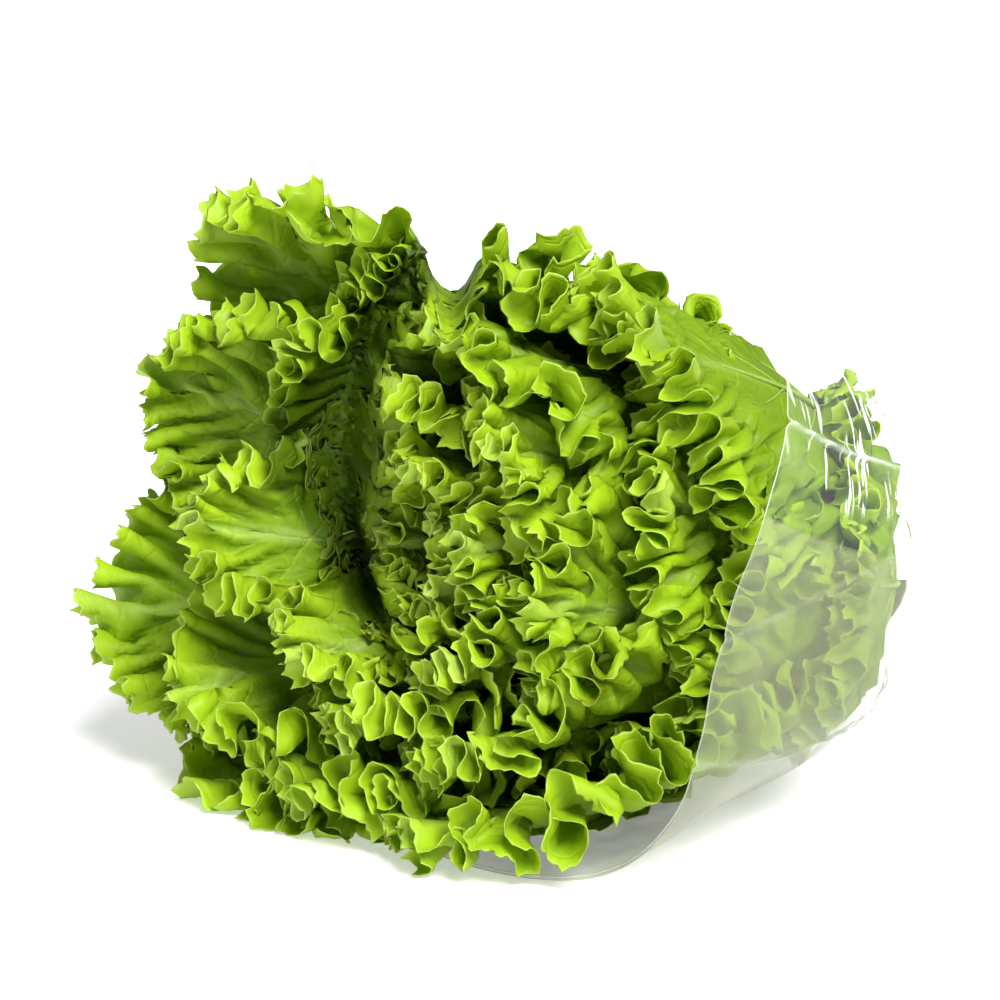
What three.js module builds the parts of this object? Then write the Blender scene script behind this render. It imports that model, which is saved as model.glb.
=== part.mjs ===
// A head of curly leaf lettuce lying on its side in a clear conical sleeve.
// The leaves grow in a golden-angle spiral round a short stem. All of them, and the sleeve,
// are patches of one family of nested surfaces, so neighbours nest and never cross:
//   layer   0 at the heart, 1 at the outermost leaf, a little over 1 at the sleeve
//   travel  millimetres along a leaf, from the stem outwards
//   around  angle round the head's axis, 0 towards the lower right of the front, 90 degrees up
// Millimetres, +Z up, the surface that the head lies on at Z = 0.
import * as THREE from "three";

// Driving dimensions
const LEAF_COUNT = 34;
const GOLDEN_ANGLE = 137.508;
const FIRST_LEAF_AROUND = 228;
const STEM_CUT = new THREE.Vector3(107.3, 72.4, 60);
const HEAD_AXIS = new THREE.Vector3(-0.71, -0.68, 0.17).normalize();
const STEM_LENGTH = 44;
const STEM_RADIUS = { apex: 5, cut: 16.5 };
const STEM_CLEARANCE = 0.8;
const LEAF_LENGTH = { heart: 92, outer: 212 };
const LENGTH_SHARE = { front: 0.8, up: 0.92, back: 1.12, down: 0.92 };
const FRONT_TRIM = { share: 0.44, from: 0.55 }; // outer leaves at the front are shorter
const LEAF_HALF_WIDTH = { heart: 34, outer: 80 };
const LEAF_FOOT_HALF_WIDTH = 8;
const WIDEST_WRAP = 80;
const LAYER_FILL = 0.42;
const INNERMOST_LAYER = 0.03;

// How far a leaf of the outermost layer leans from the axis, in degrees, on each side
const LEAN = { front: 9, up: 15, back: 27, down: 17 };
const FOOT_LEAN = { front: 50, up: 52, back: 18, down: 26 };
const TIP_CURL = { front: 0, up: 0, back: 18, down: 0 };
const FLOP = { back: 16, up: 0, from: 0.42, to: 0.62 };
const FOOT_REACH = 110;
const CURL_FROM = 100;
const CURL_TO = 215;

// How far the heart sweeps to the back of the outermost layer, full at this travel
const HEART_SWEEP = { size: 42, travel: 190 };

// Slow waves that every layer shares, growing towards the leaf tips
const WAVE = { size: 0.035, count: 5, drift: 0.03, full: 200 };

// The pile of layers that the head's weight presses on the table
const PILE_DEPTH = 46;
const PILE_SOFTNESS = 5;

// The sleeve: its film, and how far its mouth reaches on each side
const SLEEVE_LAYER = 1.075;
const FILM_THICKNESS = 0.8;
const SLEEVE_HEM = -16;
const MOUTH_REACH = { front: 180, up: 122, back: 74, down: 180 };
const SLEEVE_STEPS = { around: 44, along: 9 };
const FLAT_BELOW = 10;

const LEAF_STEPS = { along: 7, across: 6 };
const TRAVEL_STEP = 4;

const radians = THREE.MathUtils.degToRad;
const smooth = (value, from, to) => THREE.MathUtils.smoothstep(value, from, to);
const mix = (from, to, share) => from + (to - from) * share;

// Four sides' values blended round the axis
function bySide(values, around) {
  const c = Math.cos(around);
  const s = Math.sin(around);
  const side = c > 0 ? values.front : values.back;
  const height = s > 0 ? values.up : values.down;
  return (side ?? 0) * c * c + (height ?? 0) * s * s;
}

// Angle from the axis in which a layer runs at a given travel
function leanAt(layer, travel, around) {
  const foot = bySide(FOOT_LEAN, around) * (1 - smooth(travel, 0, FOOT_REACH));
  const curl = bySide(TIP_CURL, around) * smooth(travel, CURL_FROM, CURL_TO);
  const lean = layer * (bySide(LEAN, around) + foot + curl);
  const flop = bySide(FLOP, around) * smooth(layer, FLOP.from, FLOP.to);
  return radians(lean + flop * smooth(travel, 0, FOOT_REACH));
}

const rightAxis = new THREE.Vector3(0, 0, 1).cross(HEAD_AXIS).normalize();
const upAxis = HEAD_AXIS.clone().cross(rightAxis);

// A layer's path at a travel and angle: how far along the axis and how far out from it
function pathAt(layer, travel, around) {
  let axial = STEM_LENGTH * (1 - layer);
  let radial = mix(STEM_RADIUS.apex, STEM_RADIUS.cut, layer) + STEM_CLEARANCE;
  const steps = Math.max(1, Math.ceil(Math.abs(travel) / TRAVEL_STEP));
  const step = travel / steps;
  for (let i = 0; i < steps; i++) {
    const lean = travel < 0 ? 0 : leanAt(layer, (i + 0.5) * step, around);
    axial += Math.cos(lean) * step;
    radial += Math.sin(lean) * step;
  }
  return { axial, radial };
}

// The point of the nested family at a layer, travel and angle around
function headPoint(layer, travel, around) {
  const wave = WAVE.size * Math.min(1, Math.max(0, travel / WAVE.full)) ** 2;
  const wavy = layer + wave * Math.sin(WAVE.count * around + WAVE.drift * travel);
  const { axial, radial } = pathAt(wavy, travel, around);
  const sweep = HEART_SWEEP.size * (1 - wavy) * smooth(travel, 0, HEART_SWEEP.travel);
  const point = STEM_CUT.clone()
    .addScaledVector(HEAD_AXIS, axial)
    .addScaledVector(rightAxis, radial * Math.cos(around) - sweep)
    .addScaledVector(upAxis, radial * Math.sin(around));
  point.z = pressed(point.z, layer);
  return point;
}

// Layers under the head lie in a pile: each no lower than its place in the pile
function pressed(height, layer) {
  const rest = PILE_DEPTH * (SLEEVE_LAYER - layer);
  return rest + PILE_SOFTNESS * Math.log1p(Math.exp((height - rest) / PILE_SOFTNESS));
}

// A closed shell between two grids of points, [row][column]; ring closes the columns
function shell(inner, outer, ring) {
  const rows = inner.length;
  const columns = inner[0].length;
  const positions = [...inner.flat(), ...outer.flat()].flatMap((p) => [p.x, p.y, p.z]);
  const at = (side, row, column) => (side * rows + row) * columns + (column % columns);
  const index = [];
  const quad = (a, b, c, d) => index.push(a, b, c, a, c, d);
  const lastColumn = ring ? columns : columns - 1;
  for (let r = 0; r < rows - 1; r++) {
    for (let c = 0; c < lastColumn; c++) {
      quad(at(1, r, c), at(1, r, c + 1), at(1, r + 1, c + 1), at(1, r + 1, c));
      quad(at(0, r, c), at(0, r + 1, c), at(0, r + 1, c + 1), at(0, r, c + 1));
    }
  }
  for (let c = 0; c < lastColumn; c++) {
    quad(at(0, 0, c), at(0, 0, c + 1), at(1, 0, c + 1), at(1, 0, c));
    const r = rows - 1;
    quad(at(1, r, c), at(1, r, c + 1), at(0, r, c + 1), at(0, r, c));
  }
  for (let r = 0; r < rows - 1 && !ring; r++) {
    quad(at(0, r, 0), at(1, r, 0), at(1, r + 1, 0), at(0, r + 1, 0));
    const c = columns - 1;
    quad(at(1, r, c), at(0, r, c), at(0, r + 1, c), at(1, r + 1, c));
  }
  const geometry = new THREE.BufferGeometry();
  geometry.setAttribute("position", new THREE.Float32BufferAttribute(positions, 3));
  geometry.setIndex(index);
  geometry.computeVertexNormals();
  return geometry;
}

// Half the blade's width at a share of its length: a narrow foot, a broad rounded end
function halfWidth(share, widest) {
  const blade = Math.sin(Math.PI * Math.min(1, 0.08 + 0.86 * share ** 1.15)) ** 0.8;
  return mix(LEAF_FOOT_HALF_WIDTH, widest, blade * smooth(share, 0, 0.45));
}

function leaf(number) {
  const age = 1 - number / (LEAF_COUNT - 1);
  const layer = mix(INNERMOST_LAYER, 1, age);
  const middle = radians(FIRST_LEAF_AROUND + GOLDEN_ANGLE * number);
  const grown = mix(LEAF_LENGTH.heart, LEAF_LENGTH.outer, age ** 0.5);
  const trim = FRONT_TRIM.share * smooth(age, FRONT_TRIM.from, 1) * Math.max(0, Math.cos(middle)) ** 2;
  const length = grown * mix(1, bySide(LENGTH_SHARE, middle), age) * (1 - trim);
  const widest = mix(LEAF_HALF_WIDTH.heart, LEAF_HALF_WIDTH.outer, age);
  const halfBand = (0.5 * LAYER_FILL * (1 - INNERMOST_LAYER)) / (LEAF_COUNT - 1);
  const wrap = radians(WIDEST_WRAP);
  const side = (shift) => {
    const rows = [];
    for (let r = 0; r <= LEAF_STEPS.along; r++) {
      const share = r / LEAF_STEPS.along;
      const travel = length * share;
      const radius = pathAt(layer, travel, middle).radial;
      const row = [];
      for (let c = 0; c <= LEAF_STEPS.across; c++) {
        const aside = (2 * c) / LEAF_STEPS.across - 1;
        const turned = (aside * halfWidth(share, widest)) / radius;
        const around = middle + wrap * Math.tanh(turned / wrap);
        row.push(headPoint(layer + shift, travel, around));
      }
      rows.push(row);
    }
    return rows;
  };
  return shell(side(-halfBand), side(halfBand), false);
}

function stem() {
  const profile = [
    [0, 0],
    [STEM_RADIUS.cut - 1, 0],
    [STEM_RADIUS.cut, 1],
    [STEM_RADIUS.apex, STEM_LENGTH],
    [0, STEM_LENGTH + 3],
  ].map(([radius, height]) => new THREE.Vector2(radius, height));
  return new THREE.LatheGeometry(profile, 24);
}

// A point on the film's outer or inner face: flat where the film lies on the table
function filmPoint(travel, around, outside) {
  const point = headPoint(SLEEVE_LAYER, travel, around);
  if (point.z < FLAT_BELOW) return point.setZ(outside ? 0 : FILM_THICKNESS);
  if (outside) return point;
  const inward = headPoint(SLEEVE_LAYER - 0.01, travel, around).sub(point);
  return point.addScaledVector(inward.normalize(), FILM_THICKNESS);
}

// The film: one layer outside the leaves, cut off at the mouth and at the hem by the stem
function sleeve() {
  const grid = (outside) => {
    const rows = [];
    for (let r = 0; r <= SLEEVE_STEPS.along; r++) {
      const row = [];
      for (let c = 0; c < SLEEVE_STEPS.around; c++) {
        const around = (2 * Math.PI * c) / SLEEVE_STEPS.around;
        const travel = mix(SLEEVE_HEM, bySide(MOUTH_REACH, around), r / SLEEVE_STEPS.along);
        row.push(filmPoint(travel, around, outside));
      }
      rows.push(row);
    }
    return rows;
  };
  return shell(grid(false), grid(true), true);
}

const leafGreen = (age) => new THREE.Color().setHSL(0.23 + 0.02 * age, 0.62, 0.42 - 0.08 * age);
const leafMaterial = (age) =>
  new THREE.MeshStandardMaterial({ color: leafGreen(age), roughness: 0.5, side: THREE.DoubleSide });
const stemMaterial = new THREE.MeshStandardMaterial({ color: 0xdfe3b4, roughness: 0.55 });
const filmMaterial = new THREE.MeshStandardMaterial({
  color: 0xf2f6f4,
  roughness: 0.12,
  transparent: true,
  opacity: 0.25,
});

const lettuce = new THREE.Group();

const stemMesh = new THREE.Mesh(stem(), stemMaterial);
stemMesh.name = "stem";
stemMesh.position.copy(STEM_CUT);
stemMesh.quaternion.setFromUnitVectors(new THREE.Vector3(0, 1, 0), HEAD_AXIS);
lettuce.add(stemMesh);

for (let number = 0; number < LEAF_COUNT; number++) {
  const mesh = new THREE.Mesh(leaf(number), leafMaterial(1 - number / (LEAF_COUNT - 1)));
  mesh.name = `leaf_${String(number + 1).padStart(2, "0")}`;
  lettuce.add(mesh);
}

const sleeveMesh = new THREE.Mesh(sleeve(), filmMaterial);
sleeveMesh.name = "clear_sleeve";
lettuce.add(sleeveMesh);

export default lettuce;
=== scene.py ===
"""Curly leaf lettuce, lying on its side in an open sleeve of clear film.

The leaves are grown here: every blade starts flat on its own layer of the head, its margin is then given
more length than the middle of the blade has room for, and the surplus buckles into frills, while the
leaves push each other apart.  Lengths in this script are millimetres until a mesh is made in metres.
"""
import math
from concurrent.futures import ThreadPoolExecutor

import bmesh
import bpy
import numpy as np
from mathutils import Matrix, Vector


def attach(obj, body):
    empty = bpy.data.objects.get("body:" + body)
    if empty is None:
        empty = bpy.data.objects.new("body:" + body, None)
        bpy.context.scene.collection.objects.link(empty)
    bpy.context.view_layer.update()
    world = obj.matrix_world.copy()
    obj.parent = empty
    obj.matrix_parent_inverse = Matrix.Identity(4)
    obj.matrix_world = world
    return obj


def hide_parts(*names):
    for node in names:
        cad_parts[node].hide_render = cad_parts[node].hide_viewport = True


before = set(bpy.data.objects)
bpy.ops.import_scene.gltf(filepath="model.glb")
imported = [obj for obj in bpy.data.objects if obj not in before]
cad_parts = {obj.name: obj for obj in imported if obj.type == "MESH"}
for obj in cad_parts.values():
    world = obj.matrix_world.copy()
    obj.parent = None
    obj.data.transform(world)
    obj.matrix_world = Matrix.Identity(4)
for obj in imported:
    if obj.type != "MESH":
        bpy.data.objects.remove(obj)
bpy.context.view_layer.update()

MM = 0.001
SEED = 11

# --- the head and its nested layers of leaves
LEAF_COUNT = 34
HEART_FROM = 17
GOLDEN_ANGLE = math.radians(137.508)
FIRST_LEAF_AROUND = math.radians(228)
STEM_CUT = np.array([107.3, 72.4, 60.0])
STEM_LENGTH = 44.0
STEM_RADIUS = {"apex": 5.0, "cut": 16.5}
STEM_CLEARANCE = 0.8
LEAF_LENGTH = {"heart": 92.0, "outer": 212.0}
FRONT_TRIM = {"share": 0.44, "from": 0.55}
LENGTH_SHARE = {"front": 0.8, "up": 0.92, "back": 1.12, "down": 0.92}
LEAF_HALF_WIDTH = {"heart": 34.0, "outer": 80.0}
LEAF_FOOT_HALF_WIDTH = 8.0
WIDEST_WRAP = math.radians(80)
INNERMOST_LAYER = 0.03
LEAN = {"front": 9, "up": 15, "back": 27, "down": 17}
FOOT_LEAN = {"front": 50, "up": 52, "back": 18, "down": 26}
TIP_CURL = {"front": 0, "up": 0, "back": 18, "down": 0}
FLOP = {"front": 0, "up": 0, "back": 16, "down": 0}
FLOP_LAYERS = (0.42, 0.62)
FOOT_REACH = 110.0
CURL_REACH = (100.0, 215.0)
HEART_SWEEP = {"size": 42.0, "travel": 190.0}
WAVE = {"size": 0.035, "count": 5, "drift": 0.03, "full": 200.0}
PILE_DEPTH = 46.0
PILE_SOFTNESS = 5.0
PATH_STEPS = 44

# --- the sleeve of film
SLEEVE_LAYER = 1.075
SLEEVE_HEM = -16.0
FILM_THICKNESS = 0.12
FILM_STEPS = {"along": 90, "around": 481, "lap": 170}
FILM_LAP = {"around": (262, 379), "past_mouth": 1.5, "hem": 6.0, "lift": 0.9, "slant": -14}
MOUTH_REACH = {"front": 180, "up": 122, "back": 74, "down": 180}
FILM_CREASES = {"first": 0.21, "apart": 0.43, "bend": 0.05, "slant": 0.22, "width": 0.009, "height": 2.0,
                "strength": (0.5, 0.9, 0.3, 0.8, 0.4, 0.7, 0.3, 0.8, 0.4, 0.6, 0.5, 0.8, 0.4, 0.7)}

FILM_RIPPLES = {"count": 23, "height": 0.2}

# --- the frills
ROWS = 25
COLUMNS = 513
RUFFLES = (  # surplus length at the margin, and how far in it reaches on a heart leaf and an outer leaf
    {"surplus": 1.40, "heart": 20.0, "outer": 30.0},
    {"surplus": 2.40, "heart": 5.0, "outer": 10.0},
)
RUFFLE_ONSET = (0.03, 0.17)
FIRST_WAVES = {"count": 26, "longest": 62.0, "shortest": 6.5, "slant": 1.2, "size": 1.5}
PUCKER = {"surplus": 0.20, "rows": 9, "columns": 72, "size": 1.6}
# the parting is a real groove kept open in the head; "dark" and "darkness" set the painted shade down in it
PARTING = {"x": -51.0, "z": 113.0, "lean": 0.0715, "bow": 0.00704, "half_width": 9.0,
           "hollow": 15.0, "hollow_height": 24.0, "front": -98.0, "depth": 140.0,
           "foot": (45.0, 70.0), "dark": (-50.0, 10.0), "darkness": 0.97, "open_by": 0.5}
NOTCH = {"x": -15.0, "half_width": 15.0, "top": 200.0, "depth": 44.0}
ROUNDS = 240
GROWN_BY = 0.7
STIFFNESS = {"first": 0.5, "eased": 0.39, "eased_by": 0.8}
APART = 3.6
APART_EVERY = 16
FLOOR_GAP = 1.2
FILM_GAP = 2.0
FILM_GRIP = 4.0

# painted shade: how crowded leaves darken the colour of the points they hide
CROWD = {"cell": 4.0, "full": 16.0, "distances": (9, 14, 19, 24, 30, 36), "dimming": 0.42,
         "towards": ((0, -1, 0.1), (0.1, -0.7, 0.8), (-0.6, -0.5, 0.5), (0.5, -0.6, 0.4), (0, 0, 1))}

# --- the finished leaf
INNER_ROWS = np.linspace(0, 0.44, 5)
FRILL_ROWS = np.linspace(0.52, 0.92, 9)
MARGIN_ROWS = np.array([0.94, 0.96, 0.978])
RIM_ROWS = np.array([0.99, 1.0])
INNER_COLUMNS = {"heart": 96, "outer": 180}
BLADE_THICKNESS = {"middle": 1.1, "margin": 0.3}
LOBE = {"spacing": 9.5, "size": 3.4, "reach": 7.0}
TOOTH = {"spacing": 3.4, "size": 2.0, "reach": 2.0}
CRINKLE = {"size": 1.1, "reach": 4.0, "longest": 30.0, "shortest": 13.0}


def smooth(value, low, high):
    share = np.clip((value - low) / (high - low), 0, 1)
    return share * share * (3 - 2 * share)


def mix(low, high, share):
    return low + (high - low) * share


def unit(vectors):
    return vectors / np.maximum(np.linalg.norm(vectors, axis=-1, keepdims=True), 1e-9)


def by_side(values, around):
    """One value at the front, up, back and down side of the head, blended between them."""
    across, upwards = np.cos(around), np.sin(around)
    side = np.where(across > 0, values["front"], values["back"])
    height = np.where(upwards > 0, values["up"], values["down"])
    return side * across * across + height * upwards * upwards


HEAD_AXIS = unit(np.array([-0.71, -0.68, 0.17]))
RIGHT_AXIS = unit(np.cross([0.0, 0.0, 1.0], HEAD_AXIS))
UP_AXIS = np.cross(HEAD_AXIS, RIGHT_AXIS)


def head_points(layer, travel, around):
    """Points of the nested layers, and their distance from the head's axis."""
    layer, travel, around = np.broadcast_arrays(layer, travel, around)
    wave = WAVE["size"] * np.clip(travel / WAVE["full"], 0, 1) ** 2
    wavy = layer + wave * np.sin(WAVE["count"] * around + WAVE["drift"] * travel)
    axial = STEM_LENGTH * (1 - wavy)
    radial = mix(STEM_RADIUS["apex"], STEM_RADIUS["cut"], wavy) + STEM_CLEARANCE
    lean = wavy * by_side(LEAN, around)
    foot = wavy * by_side(FOOT_LEAN, around)
    curl = wavy * by_side(TIP_CURL, around)
    flop = by_side(FLOP, around) * smooth(wavy, *FLOP_LAYERS)
    step = travel / PATH_STEPS
    for number in range(PATH_STEPS):
        here = (number + 0.5) * step
        past_foot = smooth(here, 0, FOOT_REACH)
        angle = lean + foot * (1 - past_foot) + curl * smooth(here, *CURL_REACH) + flop * past_foot
        angle = np.where(travel < 0, 0, np.radians(angle))
        axial = axial + np.cos(angle) * step
        radial = radial + np.sin(angle) * step
    points = STEM_CUT + axial[..., None] * HEAD_AXIS
    sweep = HEART_SWEEP["size"] * (1 - wavy) * smooth(travel, 0, HEART_SWEEP["travel"])
    points = points + (radial * np.cos(around) - sweep)[..., None] * RIGHT_AXIS
    points = points + (radial * np.sin(around))[..., None] * UP_AXIS
    rest = PILE_DEPTH * (SLEEVE_LAYER - layer)
    lifted = np.log1p(np.exp(np.clip((points[..., 2] - rest) / PILE_SOFTNESS, -60, 60)))
    points[..., 2] = rest + PILE_SOFTNESS * lifted
    return points, radial


# --- flat blades
def half_width(share, widest):
    blade = np.sin(np.pi * np.minimum(1, 0.08 + 0.86 * share ** 1.15)) ** 0.8
    width = mix(LEAF_FOOT_HALF_WIDTH, widest, blade * smooth(share, 0, 0.45))
    rounding = np.clip((share - 0.84) / 0.16, 0, 1)
    return width * np.sqrt(1 - rounding ** 2)


def flat_blade(length, widest):
    """A flat leaf as rows from midrib to margin, each running foot, tip, foot; and each column's share."""
    share = 1 - (1 - np.linspace(0, 1, 600)) ** 1.5
    edge = np.stack([share * length, half_width(share, widest)], -1)
    run = np.concatenate([[0], np.cumsum(np.linalg.norm(np.diff(edge, axis=0), axis=1))])
    turn = np.linspace(-1, 1, COLUMNS)
    place = (1 - np.abs(turn)) * run[-1]
    along = np.interp(place, run, edge[:, 0])
    aside = np.interp(place, run, edge[:, 1]) * np.sign(turn)
    column_share = place / run[-1]
    middle = 0.8 * length * column_share ** 1.3
    row = np.linspace(0, 1, ROWS)[:, None]
    arch = row * (1 - row)
    return middle + (along - middle) * (row - 0.25 * arch), aside * (row + 0.15 * arch), column_share


class Leaves:
    """All the leaves at once, as one array of points: leaf, row, column."""

    def __init__(self):
        self.age = 1 - np.arange(LEAF_COUNT) / (LEAF_COUNT - 1)
        self.layer = mix(INNERMOST_LAYER, 1, self.age)
        self.middle = FIRST_LEAF_AROUND + GOLDEN_ANGLE * np.arange(LEAF_COUNT)
        grown = mix(LEAF_LENGTH["heart"], LEAF_LENGTH["outer"], self.age ** 0.5)
        length = grown * mix(1, by_side(LENGTH_SHARE, self.middle), self.age)
        trim = FRONT_TRIM["share"] * smooth(self.age, FRONT_TRIM["from"], 1)
        length *= 1 - trim * np.maximum(0, np.cos(self.middle)) ** 2
        widest = mix(LEAF_HALF_WIDTH["heart"], LEAF_HALF_WIDTH["outer"], self.age)
        blades = [flat_blade(*size) for size in zip(length, widest)]
        self.along, self.aside, self.share = (np.array(part) for part in zip(*blades))
        self.lay_in_head()
        self.measure_frills()
        self.ripple()

    def lay_in_head(self):
        layer = self.layer[:, None, None]
        middle = self.middle[:, None, None]
        radius = head_points(layer, self.along, middle)[1]
        turned = self.aside / np.maximum(radius, 6)
        self.around = middle + WIDEST_WRAP * np.tanh(turned / WIDEST_WRAP)
        home = head_points(layer, self.along, self.around)[0]
        normal = unit(np.cross(np.gradient(home, axis=2), np.gradient(home, axis=1)))
        self.home = home.astype(np.float32)
        self.normal = normal.astype(np.float32)
        film = head_points(SLEEVE_LAYER, self.along, self.around)[0]
        open_air = self.along > by_side(MOUTH_REACH, self.around) - FILM_GRIP
        gap = film - home
        room = np.linalg.norm(gap, axis=-1)
        self.to_film = (gap / room[..., None]).astype(np.float32)
        self.film_room = np.where(open_air, 200.0, np.maximum(room - FILM_GAP, 0)).astype(np.float32)

    def measure_frills(self):
        """How far each point is from the margin, and how much longer its row has to grow."""
        flat = np.stack([self.along, self.aside], -1)
        self.flat = flat
        self.from_margin = np.linalg.norm(flat - flat[:, -1:], axis=-1)
        self.onset = smooth(self.share, *RUFFLE_ONSET)[:, None, :]
        surplus = np.zeros_like(self.from_margin)
        for ruffle in RUFFLES:
            reach = mix(ruffle["heart"], ruffle["outer"], self.age)[:, None, None]
            surplus += ruffle["surplus"] * self.onset * np.exp(-(self.from_margin / reach) ** 1.2)
        row = np.linspace(0, 1, ROWS)[None, :, None]
        self.pucker = self.onset * smooth(row, 0.12, 0.38)
        surplus += 0.5 * PUCKER["surplus"] * self.pucker
        self.surplus = 0.5 * (surplus[:, :, 1:] + surplus[:, :, :-1])
        self.row_edges = np.diff(flat, axis=2)
        self.cross_edges = np.diff(flat, axis=1)
        steps = np.linalg.norm(self.row_edges[:, -1], axis=-1)
        self.run = np.concatenate([np.zeros((LEAF_COUNT, 1)), np.cumsum(steps, axis=1)], axis=1)
        grown = np.cumsum(steps * (1 + self.surplus[:, -1]), axis=1)
        self.grown_run = np.concatenate([np.zeros((LEAF_COUNT, 1)), grown], axis=1)
        hold = 0.5 * (1 - smooth(row, 0.03, 0.34)) + 0.0035
        foot = 0.5 * (1 - smooth(self.share, 0.02, 0.13))[:, None, :]
        self.hold = np.maximum(hold, foot).astype(np.float32)

    def ripple(self):
        """The first gentle ripple, which the growing margin then turns into frills."""
        random = np.random.default_rng(SEED)
        size = (0.55 + 0.45 * self.age)[:, None, None]
        run = self.run[:, None, :] / size
        inwards = self.from_margin / size
        push = np.zeros_like(self.from_margin)
        for share in np.linspace(0, 1, FIRST_WAVES["count"]):
            wavelength = FIRST_WAVES["longest"] ** (1 - share) * FIRST_WAVES["shortest"] ** share
            pitch = 2 * np.pi / (wavelength * random.uniform(0.85, 1.15, (LEAF_COUNT, 1, 1)))
            slant = random.uniform(-1, 1, (LEAF_COUNT, 1, 1)) * FIRST_WAVES["slant"]
            phase = random.uniform(0, 2 * np.pi, (LEAF_COUNT, 1, 1))
            push += math.sqrt(wavelength / 30) * np.sin(pitch * (run + slant * inwards) + phase)
        push *= FIRST_WAVES["size"] / math.sqrt(0.5 * FIRST_WAVES["count"])
        fade = np.exp(-self.from_margin / mix(14, 28, self.age)[:, None, None])
        noise = random.normal(0, 0.5, (LEAF_COUNT, 1, COLUMNS))
        lift = (2.2 * push + noise * fade) * self.onset * fade
        coarse = random.normal(0, PUCKER["size"], (LEAF_COUNT, PUCKER["rows"], PUCKER["columns"]))
        coarse = resample(coarse, np.linspace(0, PUCKER["rows"] - 1, ROWS), 1)
        lift += resample(coarse, np.linspace(0, PUCKER["columns"] - 1, COLUMNS), 2) * self.pucker
        self.points = self.home + self.normal * lift[..., None].astype(np.float32)

    # --- growing
    def grow(self):
        """Lengthen the margins little by little, and let the blades find their shape."""
        batches = [slice(number, None, 4) for number in range(4)]
        with ThreadPoolExecutor(4) as pool:
            for step in range(ROUNDS):
                if step % 4 == 0:
                    lengths = self.lengths(min(1, (step + 1) / (GROWN_BY * ROUNDS)))
                softer = STIFFNESS["eased"] * min(1, step / (STIFFNESS["eased_by"] * ROUNDS))
                stiffness = STIFFNESS["first"] - softer
                list(pool.map(lambda batch: self.settle(batch, lengths, stiffness), batches))
                if step % APART_EVERY == APART_EVERY - 1:
                    self.keep_apart()
                self.stay_inside(min(1, step / (PARTING["open_by"] * ROUNDS)))
        # painted shade: how shut in each point is, darkening the leaf colour where leaves crowd or sink
        # into the parting
        self.painted_shade = np.maximum(crowding(self.points), self.in_parting())

    def beside_parting(self):
        """How far each point is to the side of the parting, 1 at its wall."""
        above = self.points[..., 2] - PARTING["z"]
        middle = PARTING["x"] + PARTING["lean"] * above + PARTING["bow"] * above ** 2
        hollow = PARTING["hollow"] * np.exp(-(above / PARTING["hollow_height"]) ** 2)
        return np.abs(self.points[..., 0] - middle) / (PARTING["half_width"] + hollow)

    def in_parting(self):
        """How little light reaches a point down in the parting, used as painted shade in the leaf colour.
        """
        behind = smooth(self.points[..., 1], *PARTING["dark"])
        above_foot = smooth(self.points[..., 2], *PARTING["foot"])
        return PARTING["darkness"] * behind * above_foot * (1 - smooth(self.beside_parting(), 0.75, 1.3))

    def stay_inside(self, parted):
        """Nothing grows through the film, into the table, or into the parting that runs down the head."""
        out = np.einsum("lrci,lrci->lrc", self.points - self.home, self.to_film)
        self.points -= np.maximum(out - self.film_room, 0)[..., None] * self.to_film
        self.points[..., 2] = np.maximum(self.points[..., 2], FLOOR_GAP)
        aside = self.beside_parting()
        depth = parted * PARTING["depth"] * smooth(self.points[..., 2], *PARTING["foot"])
        wall = PARTING["front"] + depth * (1 - aside ** 2)
        deep = self.points[..., 1]
        self.points[..., 1] = np.where(aside < 1, np.maximum(deep, wall), deep)
        aside = np.abs(self.points[..., 0] - NOTCH["x"]) / NOTCH["half_width"]
        top = NOTCH["top"] - parted * NOTCH["depth"] * (1 - np.minimum(aside, 1) ** 2)
        self.points[..., 2] = np.minimum(self.points[..., 2], top)

    def lengths(self, grown):
        """Rest lengths along the rows, across them, and along both diagonals."""
        rows = self.row_edges * (1 + self.surplus * grown)[..., None]
        cross = self.cross_edges * (1 + PUCKER["surplus"] * self.pucker[:, 1:] * grown)[..., None]
        middle_rows = 0.5 * (rows[:, 1:] + rows[:, :-1])
        middle_cross = 0.5 * (cross[:, :, 1:] + cross[:, :, :-1])
        edges = (rows, cross, middle_rows + middle_cross, middle_rows - middle_cross)
        return [np.linalg.norm(edge, axis=-1).astype(np.float32) for edge in edges]

    def settle(self, batch, lengths, stiffness):
        points = self.points[batch]
        rows, cross, rising, falling = (length[batch] for length in lengths)
        for odd in (0, 1):
            end = points[:, :, 1 + odd::2]
            count = end.shape[2]
            stretch(points[:, :, odd::2][:, :, :count], end, rows[:, :, odd::2][:, :, :count], 0.9)
            end = points[:, 1 + odd::2]
            count = end.shape[1]
            stretch(points[:, odd::2][:, :count], end, cross[:, odd::2][:, :count], 0.9)
            start = points[:, odd::2][:, :count]
            stretch(start[:, :, :-1], end[:, :, 1:], rising[:, odd::2][:, :count], 0.25)
            stretch(start[:, :, 1:], end[:, :, :-1], falling[:, odd::2][:, :count], 0.25)
        unbend(points, stiffness)
        unbend(points.transpose(0, 2, 1, 3), stiffness)
        points += self.hold[batch][..., None] * (self.home[batch] - points)
        self.points[batch] = points

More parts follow.
